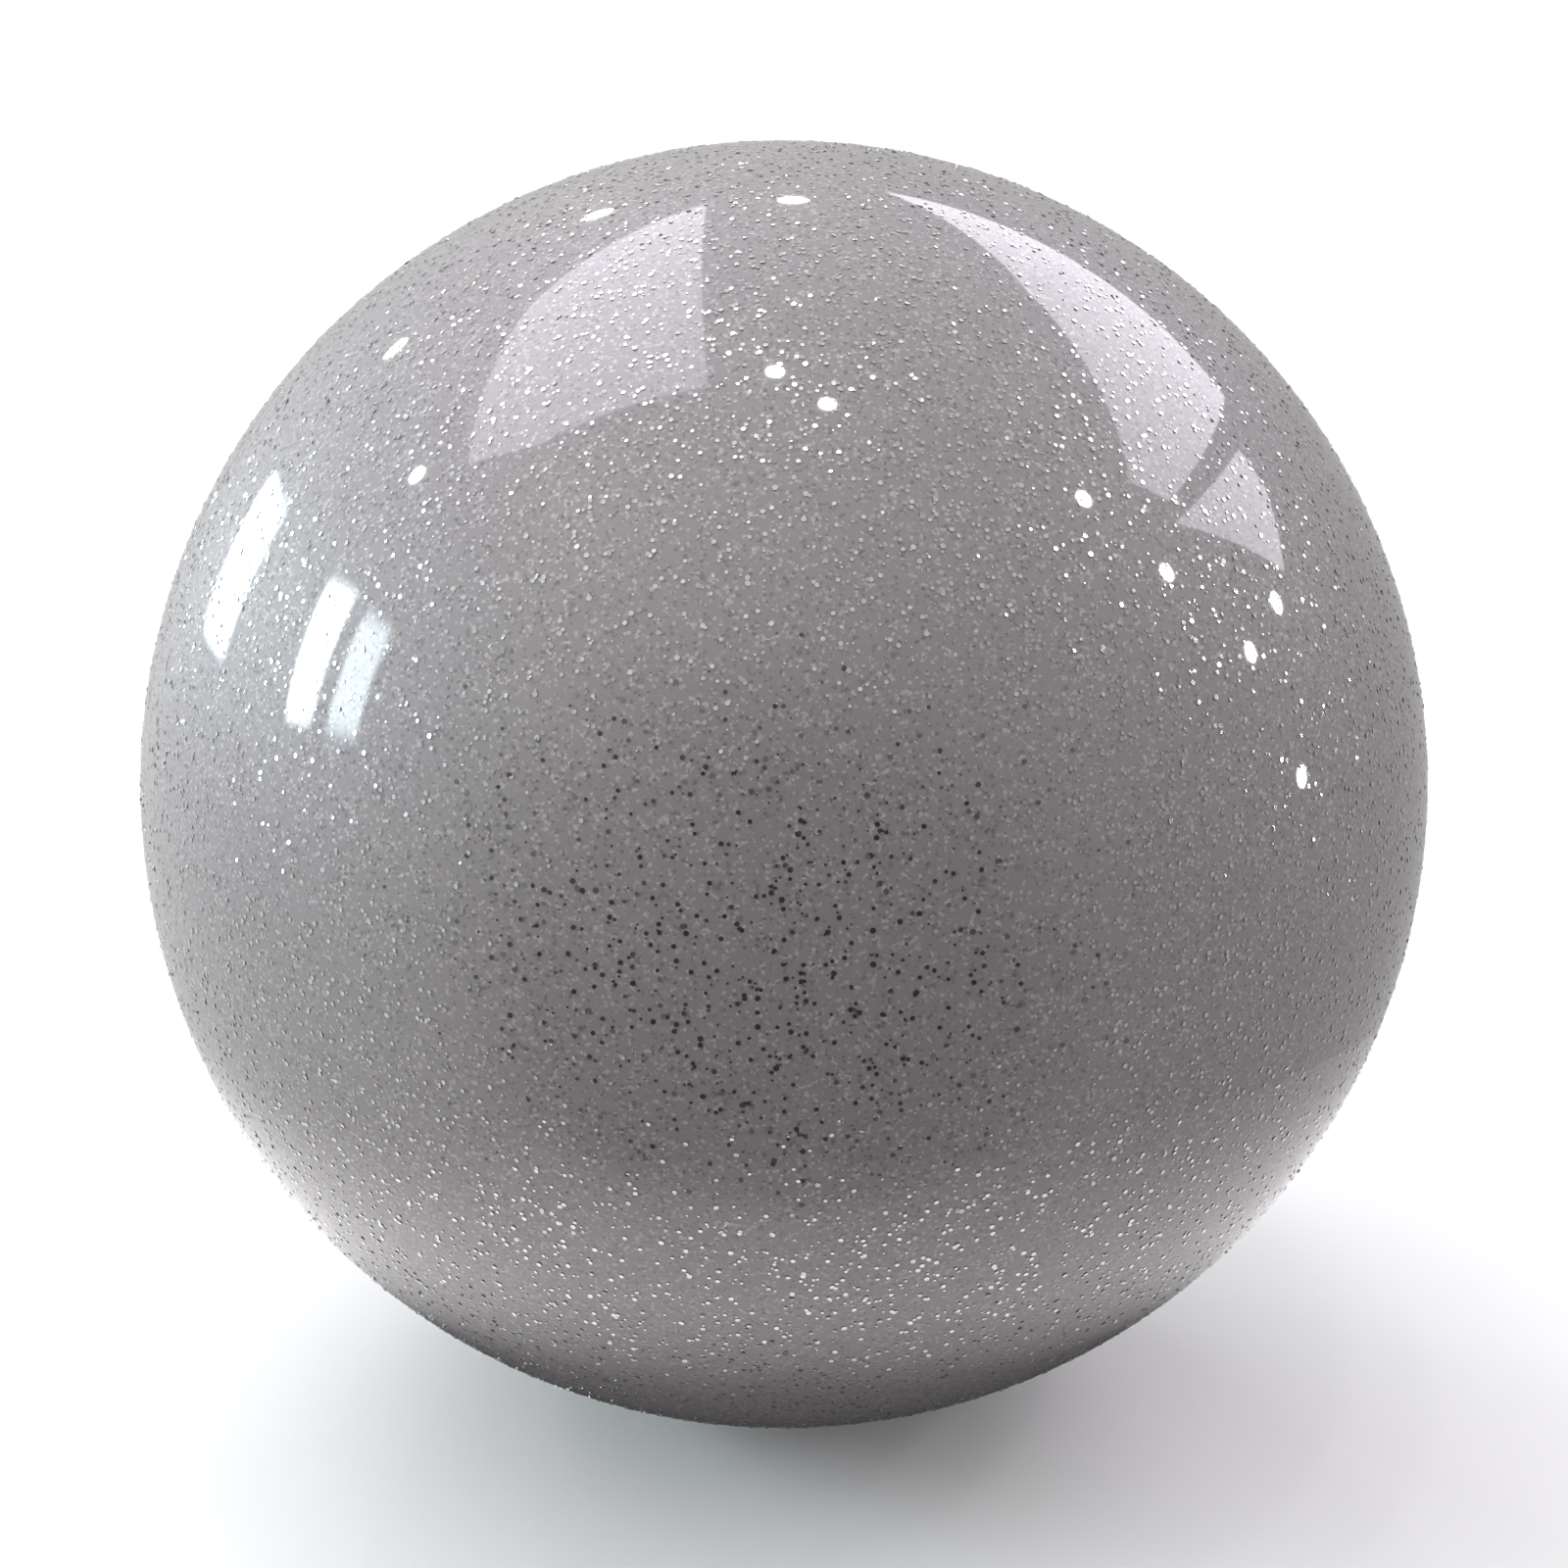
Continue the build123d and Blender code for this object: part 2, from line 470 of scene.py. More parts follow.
def valve_material(settings, name="milky_pvc", colour=None):
    """Soft, slightly milky PVC of the valve."""
    found = bpy.data.materials.get(name)
    if found:
        return found
    material, tree, shader = new_material(name)
    look = place_group(tree, soft_pvc_group(), {
        "Base": (*(colour or settings.pvc_colour), 1.0),
        "Haze": 0.5,
        "Grain": 2600.0,
    })
    bump = node(tree, "ShaderNodeBump", {
        "Height": look.outputs["Height"], "Strength": 0.12, "Distance": 0.08 * MM,
    })
    tree.links.new(look.outputs["Color"], shader.inputs["Base Color"])
    tree.links.new(look.outputs["Roughness"], shader.inputs["Roughness"])
    tree.links.new(bump.outputs["Normal"], shader.inputs["Normal"])
    shader.inputs["Subsurface Weight"].default_value = 0.25
    shader.inputs["Subsurface Radius"].default_value = (0.8, 0.8, 0.9)
    shader.inputs["Subsurface Scale"].default_value = 1.5 * MM
    shader.inputs["Coat Weight"].default_value = 0.35
    shader.inputs["Coat Roughness"].default_value = 0.08
    return material


# Geometry Nodes trees

def geometry_tree(name, inputs):
    """Geometry tree with a mesh in and out and the named inputs."""
    tree = bpy.data.node_groups.new(name, "GeometryNodeTree")
    tree.interface.new_socket("Geometry", in_out="INPUT", socket_type="NodeSocketGeometry")
    for label, kind in inputs:
        tree.interface.new_socket(label, in_out="INPUT", socket_type=kind)
    tree.interface.new_socket("Geometry", in_out="OUTPUT", socket_type="NodeSocketGeometry")
    return tree, tree.nodes.new("NodeGroupInput"), tree.nodes.new("NodeGroupOutput")


def random_vector(tree, low, high, seed, offset):
    """Random vector for each point, from a seed and an offset that sets the draws apart."""
    draw = node(tree, "FunctionNodeRandomValue", data_type="FLOAT_VECTOR")
    for key, value in (("Min", low), ("Max", high)):
        draw.inputs[key].default_value = value
    tree.links.new(maths(tree, "ADD", seed, float(offset)), draw.inputs["Seed"])
    return draw.outputs[0]


def flake_tree():
    """Scatters hexagonal flakes over a surface, each leaning a little in the clear layer."""
    found = bpy.data.node_groups.get("cast_glitter")
    if found:
        return found
    tree, given, out = geometry_tree("cast_glitter", [
        ("Flakes per Square Metre", "NodeSocketFloat"),
        ("Corners", "NodeSocketInt"),
        ("Width", "NodeSocketFloat"),
        ("Thickness", "NodeSocketFloat"),
        ("Tilt", "NodeSocketFloat"),
        ("Depth Spread", "NodeSocketFloat"),
        ("Seed", "NodeSocketInt"),
        ("Material", "NodeSocketMaterial"),
    ])
    seed = given.outputs["Seed"]
    scatter = node(tree, "GeometryNodeDistributePointsOnFaces", {
        "Mesh": given.outputs["Geometry"],
        "Density": given.outputs["Flakes per Square Metre"],
        "Seed": seed,
    }, distribute_method="RANDOM")
    radius = maths(tree, "MULTIPLY", given.outputs["Width"], 0.5)
    flake = node(tree, "GeometryNodeMeshCylinder", {
        "Vertices": given.outputs["Corners"],
        "Radius": radius,
        "Depth": given.outputs["Thickness"],
    }, fill_type="NGON")

    # The product of two draws bunches the leans near zero, with a few that lean far
    one = random_vector(tree, (-1, -1, 0), (1, 1, 1), seed, 11)
    two = random_vector(tree, (0.15, 0.15, 0), (1, 1, 0), seed, 12)
    lean = node(tree, "ShaderNodeVectorMath", {0: one, 1: two}, operation="MULTIPLY").outputs[0]
    lean = scaled(tree, lean, given.outputs["Tilt"])
    spin = random_vector(tree, (0, 0, 0), (0, 0, math.tau), seed, 13)
    turn = node(tree, "ShaderNodeVectorMath", {0: lean, 1: spin}, operation="ADD").outputs[0]
    turn = node(tree, "FunctionNodeEulerToRotation", {0: turn}).outputs[0]
    facing = node(tree, "FunctionNodeRotateRotation", {
        0: scatter.outputs["Rotation"], 1: turn,
    }, rotation_space="LOCAL").outputs[0]

    size = random_vector(tree, (0.8, 0.8, 1), (1.05, 1.05, 1), seed, 14)
    size = node(tree, "ShaderNodeSeparateXYZ", {0: size}).outputs[0]
    placed = node(tree, "GeometryNodeInstanceOnPoints", {
        "Points": scatter.outputs["Points"],
        "Instance": flake.outputs["Mesh"],
        "Rotation": facing,
        "Scale": size,
    })
    depth = random_vector(tree, (0, 0, -1), (0, 0, 1), seed, 15)
    depth = scaled(tree, depth, given.outputs["Depth Spread"])
    sunk = node(tree, "GeometryNodeTranslateInstances", {
        "Instances": placed.outputs[0], "Translation": depth, "Local Space": True,
    })
    real = node(tree, "GeometryNodeRealizeInstances", {0: sunk.outputs[0]})
    coloured = node(tree, "GeometryNodeSetMaterial", {
        "Geometry": real.outputs[0], "Material": given.outputs["Material"],
    })
    tree.links.new(coloured.outputs[0], out.inputs["Geometry"])
    return tree


def rib_tree():
    """Sets short ribs round a ring, all pointing at the valve axis."""
    found = bpy.data.node_groups.get("weld_ribs")
    if found:
        return found
    tree, given, out = geometry_tree("weld_ribs", [
        ("Count", "NodeSocketInt"),
        ("Ring Radius", "NodeSocketFloat"),
        ("Ring Height", "NodeSocketFloat"),
        ("Slope", "NodeSocketFloat"),
        ("Length", "NodeSocketFloat"),
        ("Rib Width", "NodeSocketFloat"),
        ("Material", "NodeSocketMaterial"),
    ])
    ring = node(tree, "GeometryNodeMeshCircle", {
        "Vertices": given.outputs["Count"], "Radius": given.outputs["Ring Radius"],
    })
    index = node(tree, "GeometryNodeInputIndex").outputs[0]
    share = maths(tree, "DIVIDE", index, given.outputs["Count"])
    angle = maths(tree, "MULTIPLY", share, math.tau)
    about = node(tree, "ShaderNodeCombineXYZ", {"Z": angle}).outputs[0]
    about = node(tree, "FunctionNodeEulerToRotation", {0: about}).outputs[0]
    slope = node(tree, "ShaderNodeCombineXYZ", {"Y": given.outputs["Slope"]}).outputs[0]
    slope = node(tree, "FunctionNodeEulerToRotation", {0: slope}).outputs[0]
    facing = node(
        tree, "FunctionNodeRotateRotation", {0: about, 1: slope}, rotation_space="LOCAL"
    ).outputs[0]
    rib = node(tree, "GeometryNodeMeshUVSphere", {"Segments": 8, "Rings": 6, "Radius": 0.5})
    size = node(tree, "ShaderNodeCombineXYZ", {
        "X": given.outputs["Length"],
        "Y": given.outputs["Rib Width"],
        "Z": given.outputs["Rib Width"],
    }).outputs[0]
    placed = node(tree, "GeometryNodeInstanceOnPoints", {
        "Points": ring.outputs[0],
        "Instance": rib.outputs["Mesh"],
        "Rotation": facing,
        "Scale": size,
    })
    lift = node(tree, "ShaderNodeCombineXYZ", {"Z": given.outputs["Ring Height"]}).outputs[0]
    real = node(tree, "GeometryNodeRealizeInstances", {0: placed.outputs[0]})
    upright = node(tree, "GeometryNodeTransform", {0: real.outputs[0], "Translation": lift})
    turned = node(tree, "GeometryNodeTransform", {
        0: upright.outputs[0], "Rotation": (-math.pi / 2, 0.0, 0.0),
    })
    smooth = node(tree, "GeometryNodeSetShadeSmooth", {0: turned.outputs[0]})
    coloured = node(tree, "GeometryNodeSetMaterial", {
        "Geometry": smooth.outputs[0], "Material": given.outputs["Material"],
    })
    tree.links.new(coloured.outputs[0], out.inputs["Geometry"])
    return tree


def grown(name, tree, guide, values):
    """Plain mesh object that a geometry tree makes on a guide mesh, which is then removed."""
    modifier = guide.modifiers.new(tree.name, "NODES")
    modifier.node_group = tree
    for item in tree.interface.items_tree:
        if item.in_out == "INPUT" and item.name in values:
            modifier[item.identifier] = values[item.name]
    guide.update_tag()
    bpy.context.view_layer.update()
    graph = bpy.context.evaluated_depsgraph_get()
    data = bpy.data.meshes.new_from_object(guide.evaluated_get(graph), depsgraph=graph)
    data.name = name
    piece = bpy.data.objects.new(name, data)
    bpy.context.scene.collection.objects.link(piece)
    guide.modifiers.remove(modifier)
    guide_mesh = guide.data
    bpy.data.objects.remove(guide)
    bpy.data.meshes.remove(guide_mesh)
    if not data.polygons:
        raise RuntimeError(f"{name}: the geometry tree made nothing")
    return piece


# Ball

class BALL_OT_silver_skin(bpy.types.Operator):
    """Make the silver wall of the ball, a full hollow sphere with a hole for the valve"""

    bl_idname = "glitter_ball.silver_skin"
    bl_label = "Silver Skin"

    def execute(self, context):
        settings = context.scene.ball_settings
        outer = sphere_arc(settings.silver_radius, settings.hole_radius, math.pi, 128)
        inner_radius = settings.silver_radius - SILVER_THICK
        inner = sphere_arc(inner_radius, settings.hole_radius, math.pi, 48)
        outer[-1] = (0.0, outer[-1][1])
        inner[-1] = (0.0, inner[-1][1])
        skin = lathe("silver_skin", outer, 224, closed=False)
        lining = lathe("silver_lining", inner, 96, closed=False)
        lining.data.flip_normals()
        join(skin, lining)
        finish_piece(
            skin, silver_material(settings), "ball", "silver_pvc", "silver_backing_skin"
        )
        return {"FINISHED"}


def join(piece, *others):
    """Adds other objects' meshes to a piece and removes those objects."""
    mesh = bmesh.new()
    mesh.from_mesh(piece.data)
    for other in others:
        mesh.from_mesh(other.data)
        data = other.data
        bpy.data.objects.remove(other)
        bpy.data.meshes.remove(data)
    mesh.to_mesh(piece.data)
    mesh.free()
    piece.data.shade_smooth()


class BALL_OT_glitter(bpy.types.Operator):
    """Cast the hexagonal flakes into the clear layer, in batches of different sizes"""

    bl_idname = "glitter_ball.glitter"
    bl_label = "Glitter Flakes"

    def execute(self, context):
        settings = context.scene.ball_settings
        material = flake_material(settings)
        layer = settings.radius - settings.silver_radius
        middle = settings.silver_radius + layer / 2
        area = 4 * math.pi * middle ** 2
        pole_gap = 0.001
        arc = sphere_arc(middle, settings.hole_radius, math.pi - pole_gap, 90)
        batches = (
            ("glitter_large", 1.0, 6, 1.0, 3),
            ("glitter_medium", 0.85, 6, 1.0, 5),
            ("glitter_small", 0.7, 6, 1.0, 8),
            ("glitter_dust", 0.55, 4, 1.7, 13),
        )
        for name, size, corners, share, seed in batches:
            guide = lathe(f"{name}_guide", arc, 180, closed=False)
            flakes = grown(name, flake_tree(), guide, {
                "Flakes per Square Metre": settings.flakes_per_batch * share / area,
                "Corners": corners,
                "Width": settings.flake_width * size,
                "Thickness": settings.flake_thickness,
                "Tilt": settings.flake_tilt,
                "Depth Spread": 0.1 * layer,
                "Seed": seed,
                "Material": material,
            })
            finish_piece(flakes, material, "ball", "clear_glitter_pvc", "clear_glitter_skin")
        return {"FINISHED"}


class BALL_OT_mould_line(bpy.types.Operator):
    """Make the faint line where the mould's two halves met"""

    bl_idname = "glitter_ball.mould_line"
    bl_label = "Mould Line"

    def execute(self, context):
        settings = context.scene.ball_settings
        half_width = 0.35 * MM
        root = settings.silver_radius - 0.05 * MM
        crest = settings.silver_radius + settings.mould_line_height
        shoulder = crest - 0.02 * MM
        profile = [
            (root, -half_width),
            (shoulder, -half_width / 2),
            (crest, 0.0),
            (shoulder, half_width / 2),
            (root, half_width),
        ]
        line = lathe("mould_line", profile, 288)
        tilt = context.scene.studio_settings.camera_elevation
        line.data.transform(Matrix.Rotation(-tilt, 4, "X"))
        finish_piece(line, silver_material(settings), "ball", "silver_pvc")
        return {"FINISHED"}


# Valve

class BALL_OT_valve_flange(bpy.types.Operator):
    """Make the soft disc that is welded to the ball, with its pressed weld ring"""

    bl_idname = "glitter_ball.valve_flange"
    bl_label = "Valve Flange"

    def execute(self, context):
        valve = context.scene.valve_settings
        ball = context.scene.ball_settings
        outer_r = flange_high.x
        bore_r = 8.6 * MM
        top_r = ball.radius + 0.7 * MM
        weld_r = ball.radius + 0.42 * MM
        weld_in = 11.6 * MM
        weld_out = 14.9 * MM
        step = 0.3 * MM

        def at(sphere_r, axis_r):
            return (axis_r, on_sphere(sphere_r, axis_r))

        outline = [
            at(ball.radius, bore_r),
            at(top_r + 0.05 * MM, bore_r),
            at(top_r + 0.05 * MM, bore_r + 1.1 * MM),
            at(top_r - 0.1 * MM, bore_r + 1.5 * MM),
            at(top_r - 0.1 * MM, weld_in - step),
            at(weld_r, weld_in),
            at(weld_r, weld_out),
            at(top_r - 0.15 * MM, weld_out + step),
            at(ball.radius + 0.25 * MM, outer_r),
            at(ball.radius, outer_r),
        ]
        flange = lathe("valve_flange_disc", rounded(outline, 0.25 * MM), 144)
        material = valve_material(valve)
        ring_r = (weld_in + weld_out) / 2
        guide = lathe("rib_guide", [(0.001, 0.0), (0.002, 0.0), (0.001, 0.001)], 3)
        ribs = grown("weld_ribs", rib_tree(), guide, {
            "Count": valve.weld_ribs,
            "Ring Radius": ring_r,
            "Ring Height": on_sphere(weld_r, ring_r),
            "Slope": math.asin(ring_r / ball.radius),
            "Length": weld_out - weld_in - 2 * step,
            "Rib Width": 0.42 * MM,
            "Material": material,
        })
        join(flange, ribs)
        finish_piece(flange, material, "ball", "soft_valve_pvc", "valve_flange")
        return {"FINISHED"}


class BALL_OT_valve_skirt(bpy.types.Operator):
    """Make the thin roll between flange and stem, which turns inside out as the stem moves"""

    bl_idname = "glitter_ball.valve_skirt"
    bl_label = "Valve Skirt"

    def execute(self, context):
        valve = context.scene.valve_settings
        top = skirt_high.y
        foot = skirt_low.y
        top_r = 8.75 * MM
        foot_r = valve.stem_radius - 0.05 * MM
        wall = 0.45 * MM
        steps = 22
        inner, outer = [], []
        for step in range(steps + 1):
            share = step / steps
            ease = share * share * (3 - 2 * share)
            radius = top_r + (foot_r - top_r) * (0.35 * ease + 0.65 * share)
            height = top + (foot - top) * share
            inner.append((radius - wall / 2, height + wall / 3))
            outer.append((radius + wall / 2, height - wall / 3))
        inner[0] = (inner[0][0], top - 0.02 * MM)
        skirt = lathe("valve_skirt_roll", inner + outer[::-1], 96)
        finish_piece(skirt, valve_material(valve), None, "soft_valve_pvc", "valve_skirt")
        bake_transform(skirt)
        return {"FINISHED"}


class BALL_OT_valve_stem(bpy.types.Operator):
    """Make the tube one blows through, with its rolled mouth, collar and flap seat"""

    bl_idname = "glitter_ball.valve_stem"
    bl_label = "Valve Stem"

    def execute(self, context):
        valve = context.scene.valve_settings
        stem_r = valve.stem_radius
        collar_top = skirt_low.y - 0.1 * MM
        collar_r = 5.65 * MM
        outline = [
            (valve.bore_radius, SEAT_Y),
            (stem_r - 0.1 * MM, SEAT_Y),
            (stem_r, collar_top - 0.8 * MM),
            (collar_r, collar_top - 0.8 * MM),
            (collar_r, collar_top),
            (stem_r, collar_top),
            (stem_r - 0.05 * MM, strap_low.y),
            (stem_r - 0.05 * MM, MOUTH_Y - 0.02 * MM),
            (valve.mouth_radius, MOUTH_Y - 0.02 * MM),
            (valve.bore_radius, MOUTH_Y - 4.6 * MM),
        ]
        stem = lathe("valve_stem_tube", rounded(outline, 0.28 * MM, 5), 96)
        lug = block(
            "flap_lug",
            (-1.5 * MM, SEAT_Y, stem_r - 0.3 * MM),
            (1.5 * MM, SEAT_Y + 1.6 * MM, 5.5 * MM),
            0.2 * MM,
        )
        join(stem, lug)
        sharpen(stem, CREASE)
        finish_piece(stem, valve_material(valve), "stem", "soft_valve_pvc", "valve_stem")
        return {"FINISHED"}


def block(name, low, high, bevel):
    """Box between two corners with its edges rounded."""
    mesh = bmesh.new()
    bmesh.ops.create_cube(mesh, size=1.0)
    low, high = Vector(low), Vector(high)
    for vertex in mesh.verts:
        for axis in range(3):
            middle = (low[axis] + high[axis]) / 2
            vertex.co[axis] = middle + vertex.co[axis] * (high[axis] - low[axis])
    bmesh.ops.bevel(
        mesh, geom=list(mesh.edges), offset=bevel, segments=3, profile=0.5, affect="EDGES"
    )
    return mesh_object(name, mesh)


def plate(name, outline, low_y, high_y, bevel):
    """Flat plate across the valve axis, from a closed (x, z) outline, with rounded edges."""
    mesh = bmesh.new()
    floor = [mesh.verts.new((x, low_y, z)) for x, z in outline]
    base = mesh.faces.new(floor)
    made = bmesh.ops.extrude_face_region(mesh, geom=[base])
    risen = [part for part in made["geom"] if isinstance(part, bmesh.types.BMVert)]
    bmesh.ops.translate(mesh, verts=risen, vec=(0, high_y - low_y, 0))
    bmesh.ops.recalc_face_normals(mesh, faces=mesh.faces)
    rims = [
        edge for edge in mesh.edges
        if abs(edge.verts[0].co.y - edge.verts[1].co.y) < 1e-7
    ]
    bmesh.ops.bevel(mesh, geom=rims, offset=bevel, segments=3, profile=0.5, affect="EDGES")
    return mesh_object(name, mesh)


def tongue(half_width, start_z, end_z, tip_round, steps=8):
    """Closed (x, z) outline of a strip with a rounded far end."""
    sign = 1 if end_z > start_z else -1
    points = [(half_width, start_z), (-half_width, start_z)]
    for step in range(steps + 1):
        angle = math.pi / 2 * step / steps
        points.append((
            -half_width + tip_round * (1 - math.cos(angle)),
            end_z - sign * tip_round * (1 - math.sin(angle)),
        ))
    for step in range(steps + 1):
        angle = math.pi / 2 * step / steps
        points.append((
            half_width - tip_round * (1 - math.sin(angle)),
            end_z - sign * tip_round * (1 - math.cos(angle)),
        ))
    return points


class BALL_OT_stopper(bpy.types.Operator):
    """Make the stopper: cap, tapered plug, hinge tab and ribbed pull lip"""

    bl_idname = "glitter_ball.stopper"
    bl_label = "Stopper"

    def execute(self, context):
        valve = context.scene.valve_settings
        top = stopper_high.y
        cap_r = stopper_high.x
        plug_tip = stopper_low.y
        cap_low = MOUTH_Y + 0.02 * MM
        outline = [
            (0.0, plug_tip),
            (2.3 * MM, plug_tip),
            (2.88 * MM, plug_tip + 0.5 * MM),
            (3.3 * MM, MOUTH_Y - 0.9 * MM),
            (3.4 * MM, cap_low),
            (cap_r - 0.1 * MM, cap_low),
            (cap_r, MOUTH_Y + 0.4 * MM),
            (cap_r - 0.15 * MM, top - 0.35 * MM),
            (cap_r - 0.7 * MM, top),
            (3.7 * MM, top),
            (3.1 * MM, top - 0.5 * MM),
            (1.0 * MM, top - 0.55 * MM),
            (0.8 * MM, top - 0.35 * MM),
            (0.0, top - 0.35 * MM),
        ]
        smooth = rounded(outline[1:-1], 0.3 * MM)
        profile = [outline[0]] + smooth + [outline[-1]]
        cap = lathe("stopper_cap", profile, 96, closed=False)
        tab_low = MOUTH_Y + 0.3 * MM
        tab = plate(
            "hinge_tab", tongue(2.0 * MM, -3.6 * MM, stopper_low.z, 0.3 * MM),
            tab_low, tab_low + 0.7 * MM, 0.14 * MM,
        )
        lip_end = stopper_high.z
        lip = plate(
            "pull_lip", tongue(2.5 * MM, 3.9 * MM, lip_end, 2.2 * MM),
            tab_low, tab_low + 0.8 * MM, 0.2 * MM,
        )
        ribs = [
            block(
                f"grip_{index}",
                (-1.5 * MM, tab_low + 0.6 * MM, lip_end - (2.9 - 0.8 * index) * MM),
                (1.5 * MM, tab_low + 1.0 * MM, lip_end - (2.5 - 0.8 * index) * MM),
                0.12 * MM,
            )
            for index in range(3)
        ]
        join(cap, tab, lip, *ribs)
        sharpen(cap, CREASE)
        finish_piece(cap, valve_material(valve), "cap", "soft_valve_pvc", "stopper")
        return {"FINISHED"}


class BALL_OT_stopper_strap(bpy.types.Operator):
    """Make the ring and ribbon that tie the stopper to the stem, with the thin hinge web"""

    bl_idname = "glitter_ball.stopper_strap"
    bl_label = "Stopper Strap"

    def execute(self, context):
        valve = context.scene.valve_settings
        ring_r = valve.stem_radius - 0.06 * MM
        strap_top = strap_high.y - 0.02 * MM
        ring_outline = [
            (ring_r, strap_low.y),
            (strap_high.x, strap_low.y),
            (strap_high.x, strap_top),
            (ring_r, strap_top),
        ]
        strap = lathe("stopper_strap_ribbon", rounded(ring_outline, 0.22 * MM), 96)
        ribbon = plate(
            "ribbon", tongue(2.0 * MM, -5.2 * MM, strap_low.z, 0.3 * MM),
            strap_low.y, strap_top, 0.14 * MM,
        )
        web_z = strap_low.z
        web = block(
            "hinge_web",
            (-1.9 * MM, strap_high.y - 0.3 * MM, web_z - 0.12 * MM),
            (1.9 * MM, MOUTH_Y + 0.6 * MM, web_z + 0.14 * MM),
            0.09 * MM,
        )
        join(strap, ribbon, web)
        sharpen(strap, CREASE)
        finish_piece(strap, valve_material(valve), None, "soft_valve_pvc", "stopper_strap")
        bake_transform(strap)
        return {"FINISHED"}


class BALL_OT_check_flap(bpy.types.Operator):
    """Finish the check flap, a thin film disc on the stem's inner end"""

    bl_idname = "glitter_ball.check_flap"
    bl_label = "Check Flap"

    def execute(self, context):
        valve = context.scene.valve_settings
        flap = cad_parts["check_flap"]
        material = valve_material(valve, "milky_film", valve.film_colour)
        flap.data.materials.clear()
        flap.data.materials.append(material)
        return {"FINISHED"}


# Studio

def toward(azimuth, elevation):
    """Unit vector from the ball, with azimuth 0 at the front and 90 at the right, in degrees."""
    turn, rise = math.radians(azimuth), math.radians(elevation)
    return Vector((
        math.sin(turn) * math.cos(rise), -math.cos(turn) * math.cos(rise), math.sin(rise)
    ))


def spotlight(name, azimuth, elevation, width, radiance, colour):
    """Small round lamp that faces the ball's centre."""
    away = toward(azimuth, elevation)
    aim = (-away).to_track_quat("-Z", "Y").to_matrix().to_4x4()
    data = bpy.data.lights.new(name, "AREA")
    data.shape = "DISK"
    data.size = width
    data.energy = radiance * math.pi * math.pi * width ** 2 / 4
    data.color = colour
    lamp = bpy.data.objects.new(name, data)
    lamp.matrix_world = Matrix.Translation(away * LAMP_DISTANCE) @ aim
    bpy.context.scene.collection.objects.link(lamp)


def glowing(name, colour, level):
    """Emission material. level is a radiance, or a function that makes its nodes."""
    material = bpy.data.materials.new(name)
    material.use_nodes = True
    tree = material.node_tree
    tree.nodes.clear()
    strength = level(tree) if callable(level) else level
    glow = node(tree, "ShaderNodeEmission", {"Color": (*colour, 1.0), "Strength": strength})
    output = tree.nodes.new("ShaderNodeOutputMaterial")
    tree.links.new(glow.outputs[0], output.inputs["Surface"])
    return material


def light_panel(name, corners, radiance, colour):
    """Glowing flat panel through the given corners, which the camera doesn't see."""
    mesh = bmesh.new()
    mesh.faces.new([mesh.verts.new(corner) for corner in corners])
    panel = mesh_object(name, mesh)
    panel.data.materials.append(glowing(name, colour, radiance))
    panel.visible_camera = False
    return panel


def window(name, corners, radiance, colour):
    """Soft-edged panel at the lamps' distance, with (azimuth, elevation) corners."""
    fade = 0.22

    def faded(tree):
        place = node(tree, "ShaderNodeTexCoord").outputs["UV"]
        across, up, _ = node(tree, "ShaderNodeSeparateXYZ", {0: place}).outputs
        level = radiance
        for value in (across, up):
            level = product(tree, level, ramp(tree, value, 0.0, fade, 0.0, 1.0))
            level = product(tree, level, ramp(tree, value, 1.0 - fade, 1.0, 1.0, 0.0))
        return level

    places = [toward(*corner) * LAMP_DISTANCE for corner in corners]
    panel = light_panel(name, places, faded, colour)
    spread = panel.data.uv_layers.new(name="spread").data
    for loop, place in zip(spread, ((0, 1), (1, 1), (1, 0), (0, 0))):
        loop.uv = place


def skylight(name, corners, radiance, colour):
    """Light panel under the ceiling, with (x, y) corners."""
    light_panel(name, [(x, y, CEILING) for x, y in corners], radiance, colour)


def ramp(tree, value, low, high, start, end):
    """Smooth step of a value from one level to another."""
    return remapped(tree, value, low, high, start, end, interpolation_type="SMOOTHSTEP")


def product(tree, *values):
    """Product of the values."""
    result = values[0]
    for value in values[1:]:
        result = maths(tree, "MULTIPLY", result, value)
    return result


def chosen(tree, choice, no, yes):
    """One value where choice is 0 and another where it is 1."""
    return node(
        tree, "ShaderNodeMix", {"Factor": choice, 2: no, 3: yes}, data_type="FLOAT"
    ).outputs[0]


